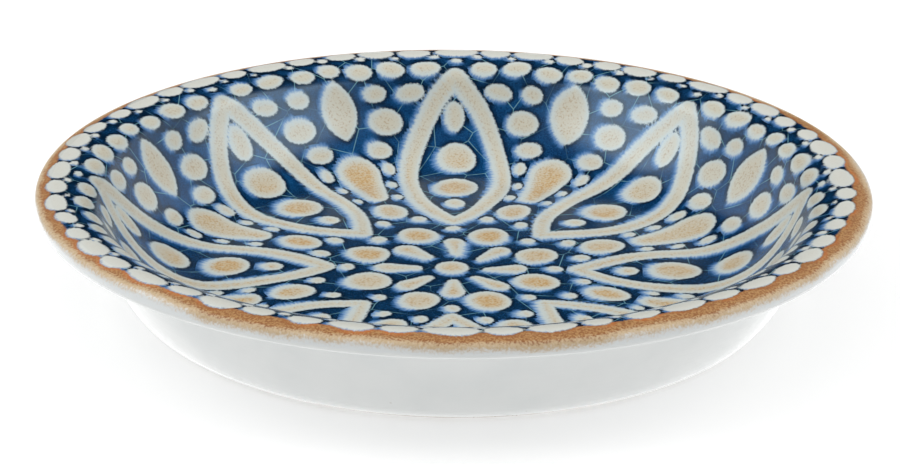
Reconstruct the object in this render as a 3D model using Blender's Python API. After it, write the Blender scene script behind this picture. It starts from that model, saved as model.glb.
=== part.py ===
"""A low glazed bowl with a flared rim: one turned clay body under four coats of glaze.

Units are metres, +Z is up, and the foot ring stands on z = 0 with its axis on the Z axis.
One line, the skin, runs from the middle of the floor inside, up the wall, over the lip and
down the outside to the foot. The coats lie under the skin and the clay lies under the coats.
"""
import math

import bmesh
import bpy
import numpy as np

# Foot and base
FOOT_RADIUS = 0.0733
FOOT_WIDTH = 0.0050
FOOT_HEIGHT = 0.0012
FOOT_STEP = 0.0010
FOOT_EDGE = 0.0005
BASE_RECESS = 0.0015

# Floor and wall
FLOOR_THICKNESS = 0.0040
FLOOR_MARGIN = 0.0150
WALL_SPREAD = 0.0145
WALL_HEIGHT = 0.0221
WALL_THICKNESS = 0.0045
WALL_ANGLE = math.radians(60.0)
TOE_ANGLE = math.radians(2.0)

# Rim and lip
RIM_OVERHANG = 0.0112
RIM_RISE = 0.0028
LIP_FACE = 0.0034
LIP_WIDTH = 0.0036
LIP_CROWN = 0.0008
LIP_ROUND = 0.0013
BAND_WIDTH = 0.0056

# How far each curve holds the direction of its end, as a share of the curve's own reach
FLOOR_HOLD = 0.55
WALL_HOLD = 0.50
FLARE_HOLD = 0.60
CREST_HOLD = 0.50
UNDERSIDE_HOLD = 0.75
SHOULDER_HOLD = 0.50
OUTSIDE_HOLD = 0.40
TOE_HOLD = 0.40

# Glaze coats, and the gap left between pieces that touch
GLAZE = 0.0004
FIT_GAP = 0.0003

# Fineness of the turned shapes
SEGMENTS = 48
CURVE_STEPS = 7
ROUND_STEPS = 3
SHARP_ANGLE = math.radians(35.0)
WELD = 1e-6


def curve(start, start_pull, end_pull, end, steps):
    """Points of a cubic curve, without its first point."""
    t = np.linspace(0.0, 1.0, steps + 1)[1:, None]
    s = 1.0 - t
    return s**3 * start + 3 * s**2 * t * start_pull + 3 * s * t**2 * end_pull + t**3 * end


def rounded(before, corner, after, radius, steps):
    """Points round a corner, from one radius before it to one radius after it."""
    start = corner + radius * (before - corner) / np.linalg.norm(before - corner)
    end = corner + radius * (after - corner) / np.linalg.norm(after - corner)
    t = np.linspace(0.0, 1.0, steps + 1)[:, None]
    return (1 - t) ** 2 * start + 2 * (1 - t) * t * corner + t**2 * end


def heading(angle):
    """Unit direction in the (radius, height) plane."""
    return np.array([math.cos(angle), math.sin(angle)])


def skin_line():
    """The visible line of the bowl as (radius, height) points, and the place of the crest."""
    toe = np.array([FOOT_RADIUS + FOOT_STEP, FOOT_HEIGHT])
    shoulder = toe + np.array([WALL_SPREAD, WALL_HEIGHT])
    lip_low = shoulder + np.array([RIM_OVERHANG, RIM_RISE])
    lip_top = lip_low + np.array([0.0, LIP_FACE])
    crest = lip_top + np.array([-LIP_WIDTH, LIP_CROWN])
    under = shoulder + np.array([RIM_OVERHANG - LIP_WIDTH, UNDERSIDE_HOLD * RIM_RISE])

    floor = np.array([0.0, BASE_RECESS + FLOOR_THICKNESS])
    floor_edge = floor + np.array([FOOT_RADIUS - FLOOR_MARGIN, 0.0])
    wall_top = shoulder + WALL_THICKNESS * heading(WALL_ANGLE + math.pi / 2)

    up = heading(WALL_ANGLE)
    sweep = wall_top - floor_edge
    flare = crest - wall_top
    inside = [
        floor[None],
        floor_edge[None],
        curve(floor_edge, floor_edge + [FLOOR_HOLD * sweep[0], 0.0],
              wall_top - WALL_HOLD * sweep[1] * up, wall_top, CURVE_STEPS),
        curve(wall_top, wall_top + FLARE_HOLD * flare[1] * up,
              crest - [CREST_HOLD * flare[0], 0.0], crest, CURVE_STEPS),
    ]
    lip = [
        rounded(crest, lip_top, lip_low, LIP_ROUND, ROUND_STEPS),
        rounded(lip_top, lip_low, under, LIP_ROUND, ROUND_STEPS),
    ]
    outside = [
        curve(lip[1][-1], under, shoulder + SHOULDER_HOLD * RIM_RISE * up, shoulder, CURVE_STEPS),
        curve(shoulder, shoulder - OUTSIDE_HOLD * WALL_HEIGHT * up,
              toe + TOE_HOLD * WALL_SPREAD * heading(TOE_ANGLE), toe, CURVE_STEPS),
    ]
    crest_place = sum(len(piece) for piece in inside) - 1
    return np.concatenate(inside + lip + outside), crest_place


def inward(line):
    """Unit directions from the skin into the clay, at each point of the line."""
    step = np.gradient(line, axis=0)
    step /= np.linalg.norm(step, axis=1)[:, None]
    into = np.stack([step[:, 1], -step[:, 0]], axis=1)
    into[0] = [0.0, -1.0]
    return into


def stretch(values, lengths, start, end):
    """The part of a line's values between two lengths along it."""
    inner = lengths[(lengths > start) & (lengths < end)]
    places = np.concatenate([[start], inner, [end]])
    return np.stack([np.interp(places, lengths, column) for column in values.T], axis=1)


def paint(thing, colour, roughness):
    """Give an object its own plain material."""
    material = bpy.data.materials.new(thing.name)
    material.use_nodes = True
    shader = material.node_tree.nodes["Principled BSDF"]
    shader.inputs["Base Color"].default_value = (*colour, 1.0)
    shader.inputs["Roughness"].default_value = roughness
    shader.inputs["Metallic"].default_value = 0.0
    thing.data.materials.append(material)


def turn(name, profile, ring, colour, roughness):
    """Spin a (radius, height) profile about Z. A ring's profile closes on itself off the axis."""
    mesh = bpy.data.meshes.new(name)
    shape = bmesh.new()
    points = [shape.verts.new((radius, 0.0, height)) for radius, height in profile]
    edges = [shape.edges.new(pair) for pair in zip(points, points[1:])]
    if ring:
        edges.append(shape.edges.new((points[-1], points[0])))
    bmesh.ops.spin(shape, geom=points + edges, axis=(0.0, 0.0, 1.0), cent=(0.0, 0.0, 0.0),
                   steps=SEGMENTS, angle=2 * math.pi, use_merge=True)
    bmesh.ops.remove_doubles(shape, verts=shape.verts[:], dist=WELD)
    bmesh.ops.recalc_face_normals(shape, faces=shape.faces[:])
    shape.to_mesh(mesh)
    shape.free()
    mesh.shade_smooth()
    mesh.set_sharp_from_angle(angle=SHARP_ANGLE)
    thing = bpy.data.objects.new(name, mesh)
    bpy.context.collection.objects.link(thing)
    paint(thing, colour, roughness)
    return thing


def coat(name, start, end, colour, roughness):
    """A coat of glaze under the skin, between two lengths along it."""
    outer = stretch(SKIN, LENGTHS, start, end)
    inner = outer + GLAZE * stretch(INTO, LENGTHS, start, end)
    profile = np.concatenate([outer, inner[::-1]])
    return turn(name, profile, start > 0.0, colour, roughness)


def clay_body():
    """The fired body: the skin set in by a coat and its gap, then the bare foot and the base."""
    inner_foot = FOOT_RADIUS - FOOT_WIDTH
    base = BASE_RECESS + GLAZE + FIT_GAP
    shell = SKIN + (GLAZE + FIT_GAP) * INTO
    foot = [
        (FOOT_RADIUS, shell[-1, 1]),
        (FOOT_RADIUS, FOOT_EDGE),
        (FOOT_RADIUS - FOOT_EDGE, 0.0),
        (inner_foot + FOOT_EDGE, 0.0),
        (inner_foot, FOOT_EDGE),
        (inner_foot, base),
        (0.0, base),
    ]
    return turn("clay_body", np.concatenate([shell, foot]), False, (0.62, 0.58, 0.51), 0.75)


def base_glaze():
    """The disc of glaze inside the foot ring."""
    edge = FOOT_RADIUS - FOOT_WIDTH - FIT_GAP
    back = BASE_RECESS + GLAZE
    profile = [(0.0, back), (edge, back), (edge, BASE_RECESS), (0.0, BASE_RECESS)]
    return turn("base_glaze", profile, False, (0.66, 0.68, 0.68), 0.18)


for old in list(bpy.data.objects):
    bpy.data.objects.remove(old, do_unlink=True)

SKIN, CREST = skin_line()
INTO = inward(SKIN)
LENGTHS = np.concatenate([[0.0], np.cumsum(np.linalg.norm(np.diff(SKIN, axis=0), axis=1))])
BAND_TOP = LENGTHS[CREST]
BAND_END = BAND_TOP + BAND_WIDTH

clay_body()
coat("inner_glaze", 0.0, BAND_TOP - FIT_GAP / 2, (0.06, 0.17, 0.40), 0.16)
coat("rim_glaze", BAND_TOP + FIT_GAP / 2, BAND_END - FIT_GAP / 2, (0.42, 0.19, 0.07), 0.35)
coat("outer_glaze", BAND_END + FIT_GAP / 2, LENGTHS[-1], (0.66, 0.68, 0.68), 0.14)
base_glaze()
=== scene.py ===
"""A low glazed bowl with a flared rim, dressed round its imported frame.

Lengths are metres. The foot ring stands on z = 0 and the bowl's axis is the Z axis. One line,
the skin, runs from the middle of the floor up the wall, over the lip and down to the foot.
"""
import math

import bpy
import numpy as np
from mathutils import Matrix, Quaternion, Vector


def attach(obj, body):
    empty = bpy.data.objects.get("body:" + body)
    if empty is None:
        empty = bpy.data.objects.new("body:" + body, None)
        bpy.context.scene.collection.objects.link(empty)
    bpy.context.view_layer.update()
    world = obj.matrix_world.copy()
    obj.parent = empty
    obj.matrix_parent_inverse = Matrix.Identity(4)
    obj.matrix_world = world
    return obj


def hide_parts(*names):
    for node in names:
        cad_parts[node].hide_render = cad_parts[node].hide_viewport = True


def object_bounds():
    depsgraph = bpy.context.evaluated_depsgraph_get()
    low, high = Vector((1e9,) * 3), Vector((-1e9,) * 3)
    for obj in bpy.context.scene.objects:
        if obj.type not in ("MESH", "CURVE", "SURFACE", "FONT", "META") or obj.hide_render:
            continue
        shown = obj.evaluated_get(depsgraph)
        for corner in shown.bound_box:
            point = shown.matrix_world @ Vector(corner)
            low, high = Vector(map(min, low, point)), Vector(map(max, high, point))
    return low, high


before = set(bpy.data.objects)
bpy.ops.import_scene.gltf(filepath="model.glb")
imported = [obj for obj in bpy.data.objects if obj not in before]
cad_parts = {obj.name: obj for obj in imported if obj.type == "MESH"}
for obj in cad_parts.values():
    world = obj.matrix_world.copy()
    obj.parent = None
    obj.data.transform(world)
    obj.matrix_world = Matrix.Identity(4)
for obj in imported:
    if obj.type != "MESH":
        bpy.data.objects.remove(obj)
CAD_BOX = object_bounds()


# Clay body
# One piece of pale stoneware, thrown on a wheel and turned to a low wall, a flared rim and a
# foot ring. Glaze covers all of it but the foot ring, which is wiped bare before the firing.
RIM_RADIUS = CAD_BOX[1].x
RIM_HEIGHT = CAD_BOX[1].z
FOOT_RADIUS = 0.0733
FOOT_WIDTH = 0.0050
FOOT_HEIGHT = 0.0012
FOOT_STEP = 0.0010
FOOT_EDGE = 0.0005
BASE_RECESS = 0.0015
FLOOR_THICKNESS = 0.0040
FLOOR_MARGIN = 0.0150
WALL_THICKNESS = 0.0045
WALL_ANGLE = math.radians(60.0)
TOE_ANGLE = math.radians(2.0)
RIM_OVERHANG = 0.0112
RIM_RISE = 0.0028
LIP_FACE = 0.0034
LIP_WIDTH = 0.0036
LIP_CROWN = 0.0008
LIP_ROUND = 0.0013
GLAZE = 0.0004
# how far each curve holds the direction of its end, as a share of the curve's own reach
FLOOR_HOLD = 0.55
WALL_HOLD = 0.50
FLARE_HOLD = 0.60
CREST_HOLD = 0.50
UNDERSIDE_HOLD = 0.75
SHOULDER_HOLD = 0.50
OUTSIDE_HOLD = 0.40
TOE_HOLD = 0.40
CURVE_STEPS = 80
ROUND_STEPS = 24
EDGE_STEPS = 7
CLAY_ROWS = 90
CLAY_COLUMNS = 360
SHARP_ANGLE = math.radians(40.0)
CLAY_PALE = (0.74, 0.73, 0.70, 1.0)
CLAY_WARM = (0.66, 0.63, 0.58, 1.0)
CLAY_GRIT = (0.16, 0.11, 0.07, 1.0)
CLAY_CLOUDS = 160.0
CLAY_GRAINS = 2600.0


def curve(start, start_pull, end_pull, end):
    """A cubic curve between two points, each end held towards its own pull point."""
    t = np.linspace(0.0, 1.0, CURVE_STEPS + 1)[1:, None]
    s = 1.0 - t
    return s**3 * start + 3 * s**2 * t * start_pull + 3 * s * t**2 * end_pull + t**3 * end


def rounded(before, corner, after):
    """A quadratic curve round a corner, from one lip round before it to one after it."""
    start = corner + LIP_ROUND * (before - corner) / np.linalg.norm(before - corner)
    end = corner + LIP_ROUND * (after - corner) / np.linalg.norm(after - corner)
    t = np.linspace(0.0, 1.0, ROUND_STEPS + 1)[:, None]
    return (1 - t) ** 2 * start + 2 * (1 - t) * t * corner + t**2 * end


def skin_line():
    """The bowl's profile in (radius, height), as straight runs, cubics and two rounded corners.

    It is set out from the rim: the lip's face stands at the rim radius, the wall leans in from
    the shoulder below it to the toe, and the inside follows at one wall's thickness.
    """
    lip_low = np.array([RIM_RADIUS, RIM_HEIGHT - LIP_CROWN - LIP_FACE])
    lip_top = lip_low + [0.0, LIP_FACE]
    crest = lip_top + [-LIP_WIDTH, LIP_CROWN]
    shoulder = lip_low - [RIM_OVERHANG, RIM_RISE]
    under = shoulder + [RIM_OVERHANG - LIP_WIDTH, UNDERSIDE_HOLD * RIM_RISE]
    toe = np.array([FOOT_RADIUS + FOOT_STEP, FOOT_HEIGHT])
    floor = np.array([0.0, BASE_RECESS + FLOOR_THICKNESS])
    floor_edge = floor + [FOOT_RADIUS - FLOOR_MARGIN, 0.0]
    up = np.array([math.cos(WALL_ANGLE), math.sin(WALL_ANGLE)])
    wall_top = shoulder + WALL_THICKNESS * np.array([-up[1], up[0]])
    sweep = wall_top - floor_edge
    flare = crest - wall_top
    drop = shoulder - toe
    lead = np.array([math.cos(TOE_ANGLE), math.sin(TOE_ANGLE)])
    inside = [
        np.linspace(floor, floor_edge, CURVE_STEPS),
        curve(floor_edge, floor_edge + [FLOOR_HOLD * sweep[0], 0.0],
              wall_top - WALL_HOLD * sweep[1] * up, wall_top),
        curve(wall_top, wall_top + FLARE_HOLD * flare[1] * up,
              crest - [CREST_HOLD * flare[0], 0.0], crest),
    ]
    lip = [rounded(crest, lip_top, lip_low), rounded(lip_top, lip_low, under)]
    outside = [
        curve(lip[1][-1], under, shoulder + SHOULDER_HOLD * RIM_RISE * up, shoulder),
        curve(shoulder, shoulder - OUTSIDE_HOLD * drop[1] * up,
              toe + TOE_HOLD * drop[0] * lead, toe),
    ]
    crest_place = sum(len(piece) for piece in inside) - 1
    return np.concatenate(inside + lip + outside), crest_place


SKIN, CREST = skin_line()
LENGTHS = np.concatenate([[0.0], np.cumsum(np.linalg.norm(np.diff(SKIN, axis=0), axis=1))])
STEP = np.gradient(SKIN, LENGTHS, axis=0)
STEP /= np.linalg.norm(STEP, axis=1)[:, None]
INTO = np.stack([STEP[:, 1], -STEP[:, 0]], axis=1)
INTO[0] = [0.0, -1.0]
CREST_LENGTH = LENGTHS[CREST]
SKIN_LENGTH = LENGTHS[-1]


def along_skin(lengths, depth):
    """Points of the skin at given lengths along it, moved into the clay by a depth."""
    line = SKIN + depth * INTO
    return np.stack([np.interp(lengths, LENGTHS, column) for column in line.T], axis=1)


def turned(name, line, columns, closed, flat):
    """A profile carried round the Z axis: (r cos a, r sin a, z) on a grid of points and angles.

    An open line starts and ends on the axis, where one point closes each end; a closed line is
    a ring. flat gives each point's radius on the bake's map, where the grid lies as a disc.
    Returns the object, and each vertex's place in the line and angle round the axis.
    """
    rows = len(line) if closed else len(line) - 2
    first = 0 if closed else 1
    angle = np.linspace(0.0, 2 * math.pi, columns, endpoint=False)
    ring = line[first:first + rows]
    grid = np.stack([ring[:, :1] * np.cos(angle), ring[:, :1] * np.sin(angle),
                     np.repeat(ring[:, 1:], columns, axis=1)], axis=2).reshape(-1, 3)
    i, j = np.meshgrid(np.arange(rows if closed else rows - 1), np.arange(columns), indexing="ij")
    i, j = i.ravel(), j.ravel()
    below, beside = (i + 1) % rows, (j + 1) % columns
    faces = np.stack([i * columns + j, below * columns + j,
                      below * columns + beside, i * columns + beside], axis=1)
    corner_row = np.stack([i, below, below, i], axis=1) + first
    corner_angle = np.stack([j, j, j + 1, j + 1], axis=1)
    place = np.repeat(np.arange(rows) + first, columns)
    turn = np.tile(angle, rows)
    faces = faces.tolist()
    corner_row, corner_angle = corner_row.ravel(), corner_angle.ravel()
    if not closed:
        poles = np.array([[0.0, 0.0, line[0, 1]], [0.0, 0.0, line[-1, 1]]])
        grid = np.concatenate([grid, poles])
        top, bottom = len(grid) - 2, len(grid) - 1
        j = np.arange(columns)
        beside = (j + 1) % columns
        last = (rows - 1) * columns
        faces += np.stack([np.full(columns, top), j, beside], axis=1).tolist()
        faces += np.stack([last + j, np.full(columns, bottom), last + beside], axis=1).tolist()
        end = len(line) - 1
        corner_row = np.concatenate([corner_row, np.tile([0, 1, 1], columns),
                                     np.tile([end - 1, end, end - 1], columns)])
        fan = np.stack([j + 0.5, j, j + 1], axis=1).ravel()
        tail = np.stack([j, j + 0.5, j + 1], axis=1).ravel()
        corner_angle = np.concatenate([corner_angle, fan, tail])
        place = np.concatenate([place, [0, end]])
        turn = np.concatenate([turn, [0.0, 0.0]])
    mesh = bpy.data.meshes.new(name)
    mesh.from_pydata(grid.tolist(), [], faces)
    sweep = corner_angle * 2 * math.pi / columns
    spread = flat[corner_row][:, None] * np.stack([np.cos(sweep), np.sin(sweep)], axis=1)
    mesh.uv_layers.new(name="OFBake").data.foreach_set("uv", (0.5 + spread).ravel())
    mesh.shade_smooth()
    mesh.set_sharp_from_angle(angle=SHARP_ANGLE)
    piece = bpy.data.objects.new(name, mesh)
    bpy.context.scene.collection.objects.link(piece)
    return piece, place, turn


def add(tree, kind, values=(), **settings):
    """One shader node: settings are its own, and each value is put on its socket or linked."""
    made = tree.nodes.new("ShaderNode" + kind)
    for key, value in settings.items():
        setattr(made, key, value)
    for key, value in dict(values).items():
        if isinstance(value, bpy.types.NodeSocket):
            tree.links.new(value, made.inputs[key])
        else:
            made.inputs[key].default_value = value
    return made


def noise(tree, where, scale, detail=2.0):
    """Cloudy noise from 0 to 1, with scale clouds to the metre."""
    return add(tree, "TexNoise", {"Vector": where, "Scale": scale, "Detail": detail}).outputs["Fac"]


def ease(tree, value, low, high, bottom=0.0, top=1.0):
    """A smooth step from bottom, where value is low, to top, where it is high."""
    return add(tree, "MapRange", {"Value": value, "From Min": low, "From Max": high,
                                  "To Min": bottom, "To Max": top},
               interpolation_type="SMOOTHSTEP").outputs["Result"]


def blend(tree, share, start, end):
    """One colour passing into another."""
    return add(tree, "Mix", {0: share, 6: start, 7: end}, data_type="RGBA").outputs[2]


def times(tree, one, other):
    """The product of two numbers."""
    return add(tree, "Math", {0: one, 1: other}, operation="MULTIPLY").outputs[0]


def shake(tree, value, wobble, size):
    """A number moved up or down by noise, by half of size at most."""
    centred = add(tree, "Math", {0: wobble, 1: size, 2: -0.5 * size}, operation="MULTIPLY_ADD")
    return add(tree, "Math", {0: value, 1: centred.outputs[0]}, operation="ADD").outputs[0]


def bump(tree, height, strength, distance):
    """A normal roughened by a height field."""
    return add(tree, "Bump", {"Height": height, "Strength": strength,
                              "Distance": distance}).outputs["Normal"]


def clay_finish():
    """Bare biscuit: pale clay with warmer clouds, fine dark grit and a dry, pitted face."""
    material = bpy.data.materials.new("bare_stoneware")
    material.use_nodes = True
    tree = material.node_tree
    shader = tree.nodes["Principled BSDF"]
    where = add(tree, "TexCoord").outputs["Object"]
    clouds = noise(tree, where, CLAY_CLOUDS, 4.0)
    grit = noise(tree, where, CLAY_GRAINS, 2.0)
    body = blend(tree, ease(tree, clouds, 0.35, 0.70), CLAY_PALE, CLAY_WARM)
    body = blend(tree, ease(tree, grit, 0.64, 0.74), body, CLAY_GRIT)
    tree.links.new(body, shader.inputs["Base Color"])
    tree.links.new(ease(tree, clouds, 0.2, 0.8, 0.70, 0.92), shader.inputs["Roughness"])
    tree.links.new(bump(tree, grit, 0.35, 0.0001), shader.inputs["Normal"])
    return material


inner_foot = FOOT_RADIUS - FOOT_WIDTH
base_back = BASE_RECESS + GLAZE
edge_turn = np.linspace(0.0, math.pi / 2, EDGE_STEPS)[:, None]
edge_out = FOOT_EDGE * np.concatenate([np.cos(edge_turn), -np.sin(edge_turn)], axis=1)
edge_in = FOOT_EDGE * np.concatenate([-np.sin(edge_turn), -np.cos(edge_turn)], axis=1)
clay_shell = along_skin(np.linspace(0.0, SKIN_LENGTH, CLAY_ROWS), GLAZE)
clay_line = np.concatenate([
    clay_shell,
    [[FOOT_RADIUS, clay_shell[-1, 1]]],
    [FOOT_RADIUS - FOOT_EDGE, FOOT_EDGE] + edge_out,
    [inner_foot + FOOT_EDGE, FOOT_EDGE] + edge_in,
    [[inner_foot, base_back], [0.0, base_back]],
])
clay_flat = np.linspace(0.0, 0.49, len(clay_line))
clay, _, _ = turned("clay_body_turned", clay_line, CLAY_COLUMNS, False, clay_flat)
clay.data.materials.append(clay_finish())
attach(clay, "root")
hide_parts("clay_body")


# Inner glaze
# The coat inside the bowl, under a clear gloss: ivory pods, leaves and dots printed in rings on
# a cobalt ground. Each mark is painted as if it stood up and were lit from one side: a wide,
# streaked, pale blue edge on that side is painted light, and a navy line on the other side is
# painted shade. Wide marks burn to sand in the middle, and fine pale veins cross the ground.
REPEATS = 8
HALF_REPEAT = math.pi / REPEATS
LEAF_REACH = 0.92
ALMOND_SWELL = 0.10
FRONT_FOLD = math.pi / 2
PRINT_COLUMNS = 720
PRINT_ROWS = 122
BACK_STEP = 5
FLOOR_LENGTH = FOOT_RADIUS - FLOOR_MARGIN
MM = 0.001
CREEP = 0.9
IVORY = (0.590, 0.575, 0.480, 1.0)
IVORY_COOL = (0.550, 0.620, 0.620, 1.0)
IVORY_WHITE = (0.700, 0.710, 0.660, 1.0)
SAND = (0.560, 0.370, 0.165, 1.0)
SAND_DARK = (0.330, 0.190, 0.080, 1.0)
COBALT = (0.0010, 0.038, 0.125, 1.0)
COBALT_LIGHT = (0.0028, 0.066, 0.200, 1.0)
# a print colour flecked over the ground, and also the halo of painted light outside each mark's lit
# side
HALO = (0.034, 0.160, 0.420, 1.0)
# pale blue painted light along each mark's lit edge
PAINTED_LIT_BLUE = (0.350, 0.490, 0.650, 1.0)
NAVY = (0.0012, 0.011, 0.029, 1.0)
INK = (0.003, 0.022, 0.055, 1.0)
VEIN = (0.200, 0.430, 0.480, 1.0)
BROWN_DEEP = (0.320, 0.115, 0.028, 1.0)
ORANGE = (0.480, 0.150, 0.032, 1.0)
BROWN = (0.280, 0.110, 0.029, 1.0)
TAN = (0.450, 0.245, 0.092, 1.0)
BEIGE = (0.570, 0.430, 0.265, 1.0)
GLAZE_WHITE = (0.705, 0.720, 0.712, 1.0)
GLOSS_TINT = (0.64, 0.84, 1.0, 1.0)
BROWN_LEAN = (-6.0, 14.0, 0.0)
# noise, in clouds to the metre, and in clouds to the millimetre of the flat print
FRINGE, GRAIN, GRIT, CLOUDS, DRIFT = 1300.0, 3000.0, 1900.0, 130.0, 45.0
STREAKS, VEIN_CELLS = 1.7, 0.105
# zones by the length past the crest, in mm
WALL_TO_FLOOR, FLARE_ZONE, RIM_ROW_ZONE = (-26.0, -50.0), (-24.0, -8.0), (-9.0, -3.0)
BROWN_STARTS, LIP_STARTS = (-0.8, 0.0), (1.1, 1.5)
BROWN_TO_BEIGE, BEIGE_TO_WHITE, DRY_BROWN = (1.1, 2.8), (2.7, 4.7), (4.8, 2.4)
# steps by the distance to a mark's edge, in mm, from the ground into the mark
# the outline edge draws a navy line of painted shade on each mark's shaded side, and the glow and
# pale blue edges draw painted light on its lit side
RUST_EDGE, OUTLINE_EDGE, NARROW_EDGE, NARROW_ROOM = (1.7, 0.4), (1.5, 0.3), (0.0, 0.6), (3.4, 1.6)
GLOW_EDGE, LIT_BLUE_EDGE, BROWN_EDGE, PALE_EDGE = (1.1, 0.1), (0.75, -0.20), (-0.2, 0.3), (0.25, -0.40)
SPECK_EDGE, COOL_EDGE, HEART_EDGE = (-0.5, -2.4), (-1.6, 0.0), (-1.2, -3.4)
VEIN_EDGE = (0.018, 0.006)
# the painted lit side of a mark: how far it widens the edge, and how far streaks shake it there
LIT_SIDE_WIDENS, LIT_SIDE_STREAKS = 1.3, 1.7
GLOSS_ROUGHNESS, DRY_ROUGHNESS = 0.20, 0.38
# the bake's map: a ring coat's hole, the gap before its back, its end, and where the print ends
FLAT_HOLE, FLAT_GAP, FLAT_END, PRINT_FLAT = 0.12, 0.004, 0.498, 0.485


def stamp(place, share, across, along, radius):
    """One ivory mark, as discs in mm: lengths along the skin, angles from the fold and radii.

    share runs from 0 on one fold of the pattern to 1 on the next. A mark that stands between
    the folds comes with its two mirror images.
    """
    lengths = place + along
    reach = np.interp(lengths, LENGTHS / MM, SKIN[:, 0] / MM)
    angles = share * HALF_REPEAT + across / reach
    copies = [angles] if share in (0.0, 1.0) else [angles, -angles, 2 * HALF_REPEAT - angles]
    return [(lengths, copy, radius) for copy in copies]


def oval(place, share, wide, tall, tilt=0.0):
    """An ellipse of half sizes wide and tall, as the discs that fit in it along its long axis."""
    long, short = max(wide, tall), min(wide, tall)
    focal = max(long**2 - short**2, 1e-9)
    x = np.linspace(-focal / long, focal / long, 11 if long > short else 1)
    radius = short * np.sqrt(1.0 - x**2 / focal)
    turn = math.radians(tilt) + (math.pi / 2 if tall > wide else 0.0)
    return stamp(place, share, x * math.cos(turn), x * math.sin(turn), radius)


def leaf(place, share, wide, tall):
    """Two arcs that meet in points: at x along it, bow - sqrt(x^2 + (bow - wide)^2) fits."""
    bow = (tall**2 + wide**2) / (2 * wide)
    x = np.linspace(-LEAF_REACH * tall, LEAF_REACH * tall, 17)
    radius = bow - np.sqrt(x**2 + (bow - wide) ** 2)
    return stamp(place, share, 0.0 * x, x, radius)


def drop(place, share, tall, top, bottom):
    """A tear drop: discs on a straight line whose radius goes evenly from bottom to top."""
    x = np.linspace(-1.0, 1.0, 13)
    return stamp(place, share, 0.0 * x, tall * x, bottom + (top - bottom) * (x + 1) / 2)


def almond(place, share, wide, tall, line):
    """An almond drawn as a line of half width line: the two arcs of a leaf, one each side.

    The line thickens a little from the foot of the almond to its tip.
    """
    bow = (tall**2 + wide**2) / (2 * wide)
    x = np.linspace(-tall, tall, 49)
    side = np.sqrt(bow**2 - x**2) - (bow - wide)
    across, along = np.concatenate([side, -side]), np.concatenate([x, x])
    return stamp(place, share, across, along, line * (1.0 + ALMOND_SWELL * along / tall))


MARKS = sum([
    # the rim row, which the brown runs between
    oval(104.5, 0.0, 6.0, 2.8), oval(104.3, 0.30, 4.2, 2.6), oval(104.5, 0.58, 5.3, 2.9),
    oval(104.3, 0.85, 3.9, 2.6), oval(101.7, 0.16, 1.3, 0.9), oval(101.5, 0.44, 1.2, 0.8),
    oval(101.7, 0.72, 1.4, 1.0), oval(102.6, 1.0, 1.4, 1.3), oval(99.6, 0.0, 1.5, 1.0),
    # the flare
    oval(96.8, 0.225, 3.9, 2.7), oval(97.2, 0.50, 4.1, 2.9, 10.0), oval(96.6, 0.765, 3.6, 2.6),
    oval(97.6, 1.0, 3.2, 2.5), oval(89.7, 0.36, 4.2, 2.6, -12.0), oval(90.0, 0.66, 3.1, 2.5),
    # the wall: pods with seeds that reach down on to the floor, and dots between them
    almond(62.5, 0.0, 12.0, 31.5, 2.65), oval(82.8, 0.0, 3.1, 5.0), oval(69.6, 0.0, 5.4, 5.3),
    oval(55.2, 0.0, 5.8, 6.3), oval(43.8, 0.0, 2.6, 2.9), oval(81.6, 0.595, 4.5, 3.8),
    oval(73.4, 0.70, 3.6, 2.7), oval(66.6, 0.665, 1.9, 2.6), oval(58.8, 0.715, 1.4, 2.0),
    oval(50.6, 0.74, 1.4, 1.8), oval(33.2, 0.63, 1.9, 2.1),
    # between the pods: a leaf, a tear drop and an egg
    leaf(85.4, 1.0, 5.2, 8.8), drop(59.0, 1.0, 7.2, 5.9, 3.2), oval(40.6, 1.0, 4.4, 5.8),
    # the middle: eggs with sand hearts round a small rosette
    oval(22.4, 1.0, 5.2, 5.6), oval(25.6, 0.0, 2.0, 1.9), drop(12.6, 0.0, 3.4, 3.0, 1.7),
], [])
HEART = 4.6
WOBBLE = 0.26
SWELL = 0.22
# the way the painted light on each mark comes from in the flat print, and how far slow waves sway
# it
LIGHT_ANGLE = math.radians(120.0)
LIGHT_SWAY = 0.6
PRINT_SHIFT = np.array([0.7, 0.6])
# slow waves over the print, each as its size in mm and its start
WAVES_ALONG = ((7.1, 1.3), (9.3, 0.4), (4.3, 0.0))
WAVES_ROUND = ((6.7, 2.1), (8.9, 0.9), (4.9, 0.0))
WAVES_SWELL = ((11.3, 0.7), (10.1, 1.9))
# these last waves sway the way of the painted light
WAVES_LIGHT = ((17.0, 0.5), (15.0, 1.7))


def wave(way, size, start):
    """A sine wave: the sine of the way over its size, plus its start."""
    return np.sin(way / size + start)


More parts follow.
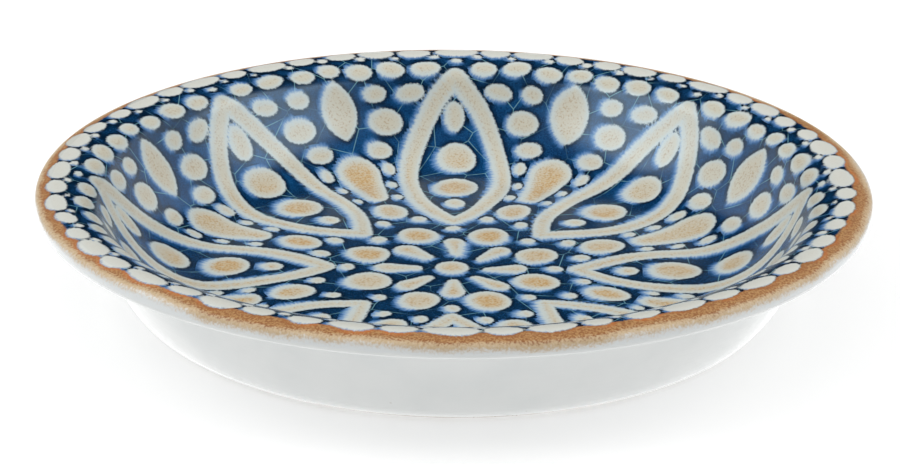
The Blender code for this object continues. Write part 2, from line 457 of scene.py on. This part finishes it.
def printed(lengths, angles):
    """Where each point stands in the print: its distances to marks, its lit side and its shore.

    A point's angle is folded into half a repeat, so one set of marks serves the whole ring.
    Slow waves over the print move the points a little first, as a hand-laid print would be.
    The distances, in mm, are to the nearest mark's edge and the sum of that and the next one's.
    The shore is the nearest point of the edge. The lit side is the cosine between the way out from
    the mark and the way the painted light comes from, which slow waves turn to and fro; it sets
    where each mark gets painted light and where painted shade.
    """
    radial = np.stack([np.cos(angles), np.sin(angles)], axis=1)
    lengths = lengths - radial @ PRINT_SHIFT
    tangent = np.stack([-radial[:, 1], radial[:, 0]], axis=1)
    flat = lengths[:, None] * radial
    x, y = flat.T
    sway_along = sum(map(wave, (x, y, x + y), *zip(*WAVES_ALONG)))
    sway_round = sum(map(wave, (y, x, x - y), *zip(*WAVES_ROUND)))
    swell = wave(x, *WAVES_SWELL[0]) * wave(y, *WAVES_SWELL[1])
    # the way the painted light comes from at each point
    light_way = LIGHT_ANGLE + LIGHT_SWAY * (wave(x, *WAVES_LIGHT[0]) + wave(y, *WAVES_LIGHT[1]))
    reach = np.maximum(np.interp(lengths, LENGTHS / MM, SKIN[:, 0] / MM), 1.0)
    place = lengths + WOBBLE * sway_along
    turn = angles + WOBBLE * sway_round / reach + HALF_REPEAT
    turn = np.mod(turn, 2 * HALF_REPEAT) - HALF_REPEAT
    side, folded = np.sign(turn), np.abs(turn)
    near = place - HEART
    after = np.full(len(near), np.inf)
    across, along = np.zeros(len(near)), np.ones(len(near))
    for mark_places, mark_turns, radii in MARKS:
        here = np.full(len(near), np.inf)
        here_across, here_along = across, along
        for mark_place, mark_turn, radius in zip(mark_places, mark_turns, radii):
            over, up = reach * (folded - mark_turn), place - mark_place
            gap = np.hypot(over, up) - radius
            closer = gap < here
            here = np.where(closer, gap, here)
            here_across = np.where(closer, over, here_across)
            here_along = np.where(closer, up, here_along)
        after = np.minimum(after, np.maximum(near, here))
        closer = here < near
        near = np.where(closer, here, near)
        across, along = np.where(closer, here_across, across), np.where(closer, here_along, along)
    out = (side * across)[:, None] * tangent + along[:, None] * radial
    out /= np.maximum(np.linalg.norm(out, axis=1), 0.01)[:, None]
    # near 1 where a mark gets painted light, low where it gets painted shade
    lit_side = np.sum(out * np.stack([np.cos(light_way), np.sin(light_way)], axis=1), axis=1)
    room = near + after
    near = near + SWELL * swell
    return near, room, lit_side, lengths, flat, flat - near[:, None] * out


def number(mesh, name, values):
    """A number kept at each vertex, for the material to read."""
    mesh.attributes.new(name, "FLOAT", "POINT").data.foreach_set("value", values.astype(np.float32))


def spot(mesh, name, points):
    """A place on the flat print kept at each vertex, for the material to read."""
    kept = mesh.attributes.new(name, "FLOAT_VECTOR", "POINT")
    kept.data.foreach_set("vector", np.pad(points, [(0, 0), (0, 1)]).astype(np.float32).ravel())


def keep_print(piece, lengths, angles):
    """What the fired print reads: its distances and places, and the length past the crest."""
    near, room, lit_side, shifted, flat, shore = printed(lengths / MM, angles - FRONT_FOLD)
    number(piece.data, "mark", near)
    number(piece.data, "room", room)
    # the lit side of each mark, for its painted light and painted shade
    number(piece.data, "lit_side", lit_side)
    number(piece.data, "brink", shifted - CREST_LENGTH / MM)
    spot(piece.data, "print", flat)
    spot(piece.data, "shore", shore)


def stored(tree, name):
    """A number that the mesh keeps at each vertex."""
    return add(tree, "Attribute", attribute_name=name).outputs["Fac"]


def flat_noise(tree, name, scale, detail=2.0):
    """Cloudy noise over places on the flat print, with scale clouds to the millimetre."""
    where = add(tree, "Attribute", attribute_name=name).outputs["Vector"]
    return add(tree, "TexNoise", {"Vector": where, "Scale": scale, "Detail": detail},
               noise_dimensions="2D").outputs["Fac"]


def fired_print(name):
    """The fired print, from the distances kept on the mesh.

    Below 0 the distance to a mark is inside it, so one chain of smooth steps gives the ivory, its
    cool edge, its sand middle, the halo of painted light outside it, the ground and the navy of
    narrow places. Each mark is painted as if lit from one side: on its lit side the edge is wide,
    streaked across and pale blue, painted light, and elsewhere it is sharp with a navy line,
    painted shade. brink is the length past the crest in mm: round it iron brown takes over from the
    blue, and down the lip it thins to the white of the outside.
    """
    material = bpy.data.materials.new(name)
    material.use_nodes = True
    tree = material.node_tree
    shader = tree.nodes["Principled BSDF"]
    where = add(tree, "TexCoord").outputs["Object"]
    fringe = noise(tree, where, FRINGE, 3.0)
    grain = noise(tree, where, GRAIN)
    grit = noise(tree, where, GRIT)
    clouds = noise(tree, where, CLOUDS, 4.0)
    drift = noise(tree, where, DRIFT)
    streak = flat_noise(tree, "shore", STREAKS)
    past = stored(tree, "brink")
    depth = ease(tree, past, *WALL_TO_FLOOR)
    # the lit side of each mark, for its painted light and painted shade, stronger towards the floor
    lit_side = times(tree, ease(tree, shake(tree, stored(tree, "lit_side"), drift, 1.6), -0.1, 0.8),
                ease(tree, depth, 0.0, 1.0, 0.55, 1.0))
    edge = shake(tree, shake(tree, stored(tree, "mark"), fringe, CREEP), grain, 0.6 * CREEP)
    # the edge blurs and streaks on a mark's lit side, as part of its painted light
    centred = add(tree, "Math", {0: streak, 1: 0.5}, operation="SUBTRACT").outputs[0]
    feather = add(tree, "Math", {0: centred, 1: times(tree, lit_side, LIT_SIDE_STREAKS), 2: edge},
                  operation="MULTIPLY_ADD").outputs[0]
    width = add(tree, "Math", {0: lit_side, 1: LIT_SIDE_WIDENS, 2: 1.0},
                operation="MULTIPLY_ADD").outputs[0]
    feather = add(tree, "Math", {0: feather, 1: width}, operation="DIVIDE").outputs[0]

    ground = blend(tree, ease(tree, clouds, 0.36, 0.66), COBALT, COBALT_LIGHT)
    ground = blend(tree, ease(tree, depth, 0.35, 1.0, 0.0, 0.75), ground, INK)
    ground = blend(tree, ease(tree, past, *FLARE_ZONE, 0.0, 0.6), ground, INK)
    ground = blend(tree, ease(tree, grain, 0.50, 0.34, 0.0, 0.55), ground, NAVY)
    ground = blend(tree, ease(tree, grain, 0.56, 0.74, 0.0, 0.28), ground, HALO)
    # outline: a navy line of painted shade on each mark's shaded side; narrow: print navy where
    # marks stand close
    outline = times(tree, ease(tree, edge, *OUTLINE_EDGE), ease(tree, lit_side, 0.5, 0.1, 0.0, 0.85))
    narrow = times(tree, ease(tree, stored(tree, "room"), *NARROW_ROOM),
                   ease(tree, edge, *NARROW_EDGE))
    dark = add(tree, "Math", {0: outline, 1: narrow}, operation="MAXIMUM").outputs[0]
    ground = blend(tree, dark, ground, NAVY)
    # a halo of painted light outside each mark's lit side
    glow = times(tree, ease(tree, feather, *GLOW_EDGE), ease(tree, lit_side, 0.1, 0.7))
    ground = blend(tree, glow, ground, HALO)
    spread = add(tree, "Attribute", attribute_name="print").outputs["Vector"]
    cracks = add(tree, "TexVoronoi", {"Vector": spread, "Scale": VEIN_CELLS},
                 feature="DISTANCE_TO_EDGE", voronoi_dimensions="2D").outputs["Distance"]
    veins = times(tree, ease(tree, cracks, *VEIN_EDGE),
                  ease(tree, clouds, 0.40, 0.58, 0.10, 0.65))
    ground = blend(tree, veins, ground, VEIN)

    body = blend(tree, ease(tree, feather, *COOL_EDGE), IVORY, IVORY_COOL)
    heart = times(tree, ease(tree, edge, *HEART_EDGE), ease(tree, drift, 0.36, 0.62, 0.45, 1.0))
    heart = times(tree, heart, ease(tree, depth, 0.1, 0.8, 0.25, 1.0))
    heart = times(tree, heart, ease(tree, grit, 0.36, 0.58, 0.45, 1.0))
    body = blend(tree, heart, body, SAND)
    speck = times(tree, ease(tree, edge, *SPECK_EDGE), ease(tree, grit, 0.53, 0.66, 0.0, 0.42))
    body = blend(tree, speck, body, SAND_DARK)
    body = blend(tree, ease(tree, past, *RIM_ROW_ZONE, 0.0, 0.8), body, IVORY_WHITE)
    pale = ease(tree, feather, *PALE_EDGE)
    # pale blue painted light along each mark's lit edge
    lit_blue = times(tree, ease(tree, feather, *LIT_BLUE_EDGE), times(tree, lit_side, 0.80))
    colour = blend(tree, lit_blue, ground, PAINTED_LIT_BLUE)
    colour = blend(tree, pale, colour, body)

    brink = shake(tree, shake(tree, past, fringe, 1.5), drift, 4.0)
    brink = shake(tree, brink, grit, 2.6)
    lopsided = add(tree, "VectorMath", {0: where, 1: BROWN_LEAN}, operation="DOT_PRODUCT")
    brink = add(tree, "Math", {0: lopsided.outputs["Value"], 1: brink}, operation="ADD").outputs[0]
    close = times(tree, ease(tree, edge, *RUST_EDGE), ease(tree, grit, 0.64, 0.44, 0.30, 1.0))
    rust = blend(tree, ease(tree, drift, 0.40, 0.62), BROWN_DEEP, ORANGE)
    iron = blend(tree, ease(tree, grit, 0.38, 0.62), BROWN, TAN)
    iron = blend(tree, close, iron, rust)
    iron = blend(tree, ease(tree, brink, *BROWN_TO_BEIGE, 0.0, 0.95), iron, BEIGE)
    iron = blend(tree, ease(tree, brink, *BEIGE_TO_WHITE), iron, GLAZE_WHITE)
    outside = ease(tree, edge, *BROWN_EDGE)
    margin = ease(tree, shake(tree, past, fringe, 1.2), *BROWN_STARTS)
    beyond = add(tree, "Math", {0: times(tree, outside, margin),
                                1: ease(tree, past, *LIP_STARTS)}, operation="MAXIMUM").outputs[0]
    colour = blend(tree, beyond, colour, iron)
    tree.links.new(colour, shader.inputs["Base Color"])
    dry = times(tree, beyond, ease(tree, brink, *DRY_BROWN))
    gloss = add(tree, "Math", {0: dry, 1: DRY_ROUGHNESS, 2: GLOSS_ROUGHNESS},
                operation="MULTIPLY_ADD").outputs[0]
    tree.links.new(shake(tree, gloss, clouds, 0.06), shader.inputs["Roughness"])
    shader.inputs["Specular Tint"].default_value = GLOSS_TINT
    tree.links.new(bump(tree, clouds, 0.10, 0.0004), shader.inputs["Normal"])
    return material


def coat(name, lengths, columns, flat_end):
    """A coat of glaze as a thin closed shell: its skin, and its back one coat's depth below.

    Returns the piece with each vertex's length along the skin and angle. The back takes a
    narrow ring at the edge of the bake's map, since it is never seen.
    """
    back = lengths[::-BACK_STEP]
    back = np.append(back[back > max(FLOOR_LENGTH, lengths[0])], lengths[0])
    line = np.concatenate([along_skin(lengths, 0.0), along_skin(back, GLAZE)])
    every = np.concatenate([lengths, back])
    start = 0.0 if lengths[0] == 0.0 else FLAT_HOLE
    flat = np.concatenate([
        start + (flat_end - start) * (lengths - lengths[0]) / (lengths[-1] - lengths[0]),
        np.linspace(flat_end + FLAT_GAP, FLAT_END, len(back)),
    ])
    piece, place, turn = turned(name, line, columns, lengths[0] > 0.0, flat)
    return piece, every[place], turn


inner, length, turn = coat("inner_glaze_print", np.linspace(0.0, CREST_LENGTH, PRINT_ROWS),
                           PRINT_COLUMNS, PRINT_FLAT)
keep_print(inner, length, turn)
inner.data.materials.append(fired_print("cobalt_print_under_gloss"))
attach(inner, "root")
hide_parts("inner_glaze")


# Rim glaze
# The iron-brown band over the lip, sponged on by hand: strongest along the crest, where it
# runs in between the ivory marks, and thinner and paler down the lip's face.
BAND_WIDTH = 0.0056
BAND_ROWS = 29
RING_FLAT = 0.46
band, length, turn = coat("rim_glaze_band",
                          np.linspace(CREST_LENGTH, CREST_LENGTH + BAND_WIDTH, BAND_ROWS),
                          PRINT_COLUMNS, RING_FLAT)
keep_print(band, length, turn)
band.data.materials.append(fired_print("iron_brown_sponged_rim"))
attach(band, "root")
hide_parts("rim_glaze")


# Outer glaze
# The white coat under the rim and down the outside to the foot: a clear gloss on pale clay,
# with faint rings from the turning and a few pinholes.
OUTER_ROWS = 66
GLAZE_GREY = (0.665, 0.685, 0.680, 1.0)
PINHOLE = (0.42, 0.38, 0.33, 1.0)
WHITE_CLOUDS, PEEL, PINHOLES, RINGS = 60.0, 420.0, 130.0, 900.0
RING_STRETCH = (0.02, 0.02, 1.0)


def white_finish(name):
    """Glossy white: slow clouds in the coat, rings of the turning as a low bump, and pinholes."""
    material = bpy.data.materials.new(name)
    material.use_nodes = True
    tree = material.node_tree
    shader = tree.nodes["Principled BSDF"]
    where = add(tree, "TexCoord").outputs["Object"]
    clouds = noise(tree, where, WHITE_CLOUDS, 3.0)
    peel = noise(tree, where, PEEL)
    holes = add(tree, "TexVoronoi", {"Vector": where, "Scale": PINHOLES}).outputs["Distance"]
    pin = ease(tree, holes, 0.055, 0.030)
    body = blend(tree, ease(tree, clouds, 0.35, 0.70), GLAZE_WHITE, GLAZE_GREY)
    body = blend(tree, times(tree, pin, 0.35), body, PINHOLE)
    tree.links.new(body, shader.inputs["Base Color"])
    level = add(tree, "Mapping", {"Vector": where, "Scale": RING_STRETCH}).outputs["Vector"]
    rings = noise(tree, level, RINGS)
    relief = add(tree, "Math", {0: rings, 1: times(tree, peel, 0.6)}, operation="ADD").outputs[0]
    tree.links.new(ease(tree, clouds, 0.3, 0.7, 0.12, 0.20), shader.inputs["Roughness"])
    tree.links.new(bump(tree, relief, 0.12, 0.0003), shader.inputs["Normal"])
    return material


outer, _, _ = coat("outer_glaze_white",
                   np.linspace(CREST_LENGTH + BAND_WIDTH, SKIN_LENGTH, OUTER_ROWS),
                   PRINT_COLUMNS, RING_FLAT)
outer.data.materials.append(white_finish("white_gloss_outside"))
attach(outer, "root")
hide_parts("outer_glaze")


# Base glaze
# The disc of white glaze inside the foot ring, the same as outside. It is poured on to the
# upturned base and left level, and the foot ring round it is wiped clean.
BASE_ROWS = 40
BASE_COLUMNS = 180
base_run = np.linspace(0.0, inner_foot, BASE_ROWS)
base_line = np.concatenate([
    np.stack([base_run, np.full(BASE_ROWS, base_back)], axis=1),
    np.stack([base_run[::-1], np.full(BASE_ROWS, BASE_RECESS)], axis=1),
])
base_flat = np.concatenate([np.linspace(0.0, 0.08, BASE_ROWS),
                            np.linspace(0.49, 0.09, BASE_ROWS)])
base, _, _ = turned("base_glaze_disc", base_line, BASE_COLUMNS, False, base_flat)
base.data.materials.append(white_finish("white_gloss_base"))
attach(base, "root")
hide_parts("base_glaze")


# Studio
# A plain white floor that keeps the bowl's shadow, a soft box to each side and one overhead.
# A small panel on the floor lights the outside from below, and a black cloth arched over the
# bowl from front to back, which only its gloss sees, keeps the middle of the print deep.
FLOOR_SIZE = 6.0
FLOOR_DROP = 0.0001
FLOOR_COLOUR = (0.56, 0.56, 0.56, 1.0)
FLOOR_NEAR_FAR = (0.45, 1.40)
FLOOR_LIFT = (0.50, 1.0)
SOFT_BOXES = (
    ("soft_box_left", (-1.05, -0.15, 1.00), 1.10, 0.80, 9.6),
    ("soft_box_right", (1.05, -0.15, 1.00), 1.10, 0.80, 7.6),
    ("soft_box_top", (0.0, -0.25, 1.30), 1.20, 1.00, 4.7),
)
LOW_PANEL_SIZE = 0.32
LOW_PANEL_POWER = 0.14
WORLD_LEVEL = 0.40
FLAG_RADIUS = 1.0
FLAG_HALF_WIDTH = 0.50
FLAG_DIP = 0.2
FLAG_STEPS = 40
WHITE = (1.0, 1.0, 1.0, 1.0)
BLACK = (0.0, 0.0, 0.0, 1.0)


def seen_directly(tree):
    """1 for rays from the camera and those that gloss or glass send on, and 0 for lighting."""
    path = add(tree, "LightPath").outputs
    shiny = add(tree, "Math", {0: path["Is Glossy Ray"], 1: path["Is Transmission Ray"]},
                operation="MAXIMUM").outputs[0]
    return add(tree, "Math", {0: path["Is Camera Ray"], 1: shiny}, operation="MAXIMUM").outputs[0]


floor_mesh = bpy.data.meshes.new("floor")
floor_grid = np.array([[-1, -1], [1, -1], [1, 1], [-1, 1]]) * FLOOR_SIZE / 2
floor_mesh.from_pydata([(x, y, -FLOOR_DROP) for x, y in floor_grid.tolist()], [], [(0, 1, 2, 3)])
floor = bpy.data.objects.new("floor", floor_mesh)
bpy.context.scene.collection.objects.link(floor)
floor_material = bpy.data.materials.new("white_floor")
floor_material.use_nodes = True
tree = floor_material.node_tree
tree.nodes.clear()
matte = add(tree, "BsdfDiffuse", {"Color": FLOOR_COLOUR}).outputs[0]
far = add(tree, "VectorMath", {0: add(tree, "TexCoord").outputs["Object"]}, operation="LENGTH")
lift = ease(tree, far.outputs["Value"], *FLOOR_NEAR_FAR, *FLOOR_LIFT)
glow = add(tree, "Emission", {"Color": WHITE,
                              "Strength": times(tree, seen_directly(tree), lift)}).outputs[0]
both = add(tree, "AddShader", {0: matte, 1: glow}).outputs[0]
add(tree, "OutputMaterial", {"Surface": both})
floor_mesh.materials.append(floor_material)

for name, place, width, height, power in SOFT_BOXES:
    lamp = bpy.data.lights.new(name, "AREA")
    lamp.shape, lamp.size, lamp.size_y, lamp.energy = "RECTANGLE", width, height, power
    box = bpy.data.objects.new(name, lamp)
    box.location = place
    box.rotation_mode = "QUATERNION"
    box.rotation_quaternion = (-Vector(place)).to_track_quat("-Z", "Y")
    box.visible_camera = False
    bpy.context.scene.collection.objects.link(box)

panel = bpy.data.lights.new("low_panel", "AREA")
panel.shape, panel.size, panel.energy = "DISK", LOW_PANEL_SIZE, LOW_PANEL_POWER
low_panel = bpy.data.objects.new("low_panel", panel)
low_panel.rotation_euler = (math.pi, 0.0, 0.0)
low_panel.location = (0.0, 0.0, -0.5 * FLOOR_DROP)
low_panel.visible_camera = False
bpy.context.scene.collection.objects.link(low_panel)

# the arch is (x, R cos a, R sin a) on a grid of two widths and the angles from floor to floor
flag_turn = np.linspace(-FLAG_DIP, math.pi + FLAG_DIP, FLAG_STEPS + 1)
flag_x, flag_a = np.meshgrid([-FLAG_HALF_WIDTH, FLAG_HALF_WIDTH], flag_turn)
flag_points = np.stack([flag_x, FLAG_RADIUS * np.cos(flag_a), FLAG_RADIUS * np.sin(flag_a)],
                       axis=2).reshape(-1, 3)
flag_faces = 2 * np.arange(FLAG_STEPS)[:, None] + [0, 1, 3, 2]
flag_mesh = bpy.data.meshes.new("black_flag")
flag_mesh.from_pydata(flag_points.tolist(), [], flag_faces.tolist())
flag = bpy.data.objects.new("black_flag", flag_mesh)
bpy.context.scene.collection.objects.link(flag)
flag_material = bpy.data.materials.new("black_cloth")
flag_material.use_nodes = True
tree = flag_material.node_tree
tree.nodes.clear()
cloth = add(tree, "BsdfDiffuse", {"Color": BLACK}).outputs[0]
add(tree, "OutputMaterial", {"Surface": cloth})
flag_mesh.materials.append(flag_material)
flag.visible_camera = flag.visible_diffuse = False
flag.visible_shadow = flag.visible_transmission = False

world = bpy.data.worlds.new("studio")
bpy.context.scene.world = world
world.use_nodes = True
tree = world.node_tree
tree.nodes.clear()
level = add(tree, "MapRange", {"Value": seen_directly(tree),
                               "To Min": WORLD_LEVEL, "To Max": 1.0}).outputs["Result"]
sky = add(tree, "Background", {"Color": WHITE, "Strength": level})
add(tree, "OutputWorld", {"Surface": sky.outputs[0]})


# Camera
# It looks down on the bowl from in front, level but for a slight lean to one side. The long
# lens flattens the rim a little, and a small shift sets the bowl off the picture's centre.
AIM = Vector((0.0, 0.0, 0.0146))
DISTANCE = 0.66
LOOK_DOWN = 0.3782
LEAN = 0.0097
LENS = 108.62
SENSOR_WIDTH = 36.0
CLIP = (0.01, 20.0)
PICTURE_WIDTH = 900
OFF_CENTRE = (3.62, 1.77)
lens = bpy.data.cameras.new("camera")
lens.lens = LENS
lens.sensor_width = SENSOR_WIDTH
lens.shift_x = -OFF_CENTRE[0] / PICTURE_WIDTH
lens.shift_y = OFF_CENTRE[1] / PICTURE_WIDTH
lens.clip_start, lens.clip_end = CLIP
camera = bpy.data.objects.new("camera", lens)
back_off = Vector((0.0, -math.cos(LOOK_DOWN), math.sin(LOOK_DOWN)))
camera.location = AIM + DISTANCE * back_off
camera.rotation_mode = "QUATERNION"
lean = Quaternion((0.0, 0.0, 1.0), LEAN)
camera.rotation_quaternion = (-back_off).to_track_quat("-Z", "Y") @ lean
bpy.context.scene.collection.objects.link(camera)
bpy.context.scene.camera = camera
bpy.context.scene.view_settings.view_transform = "Standard"
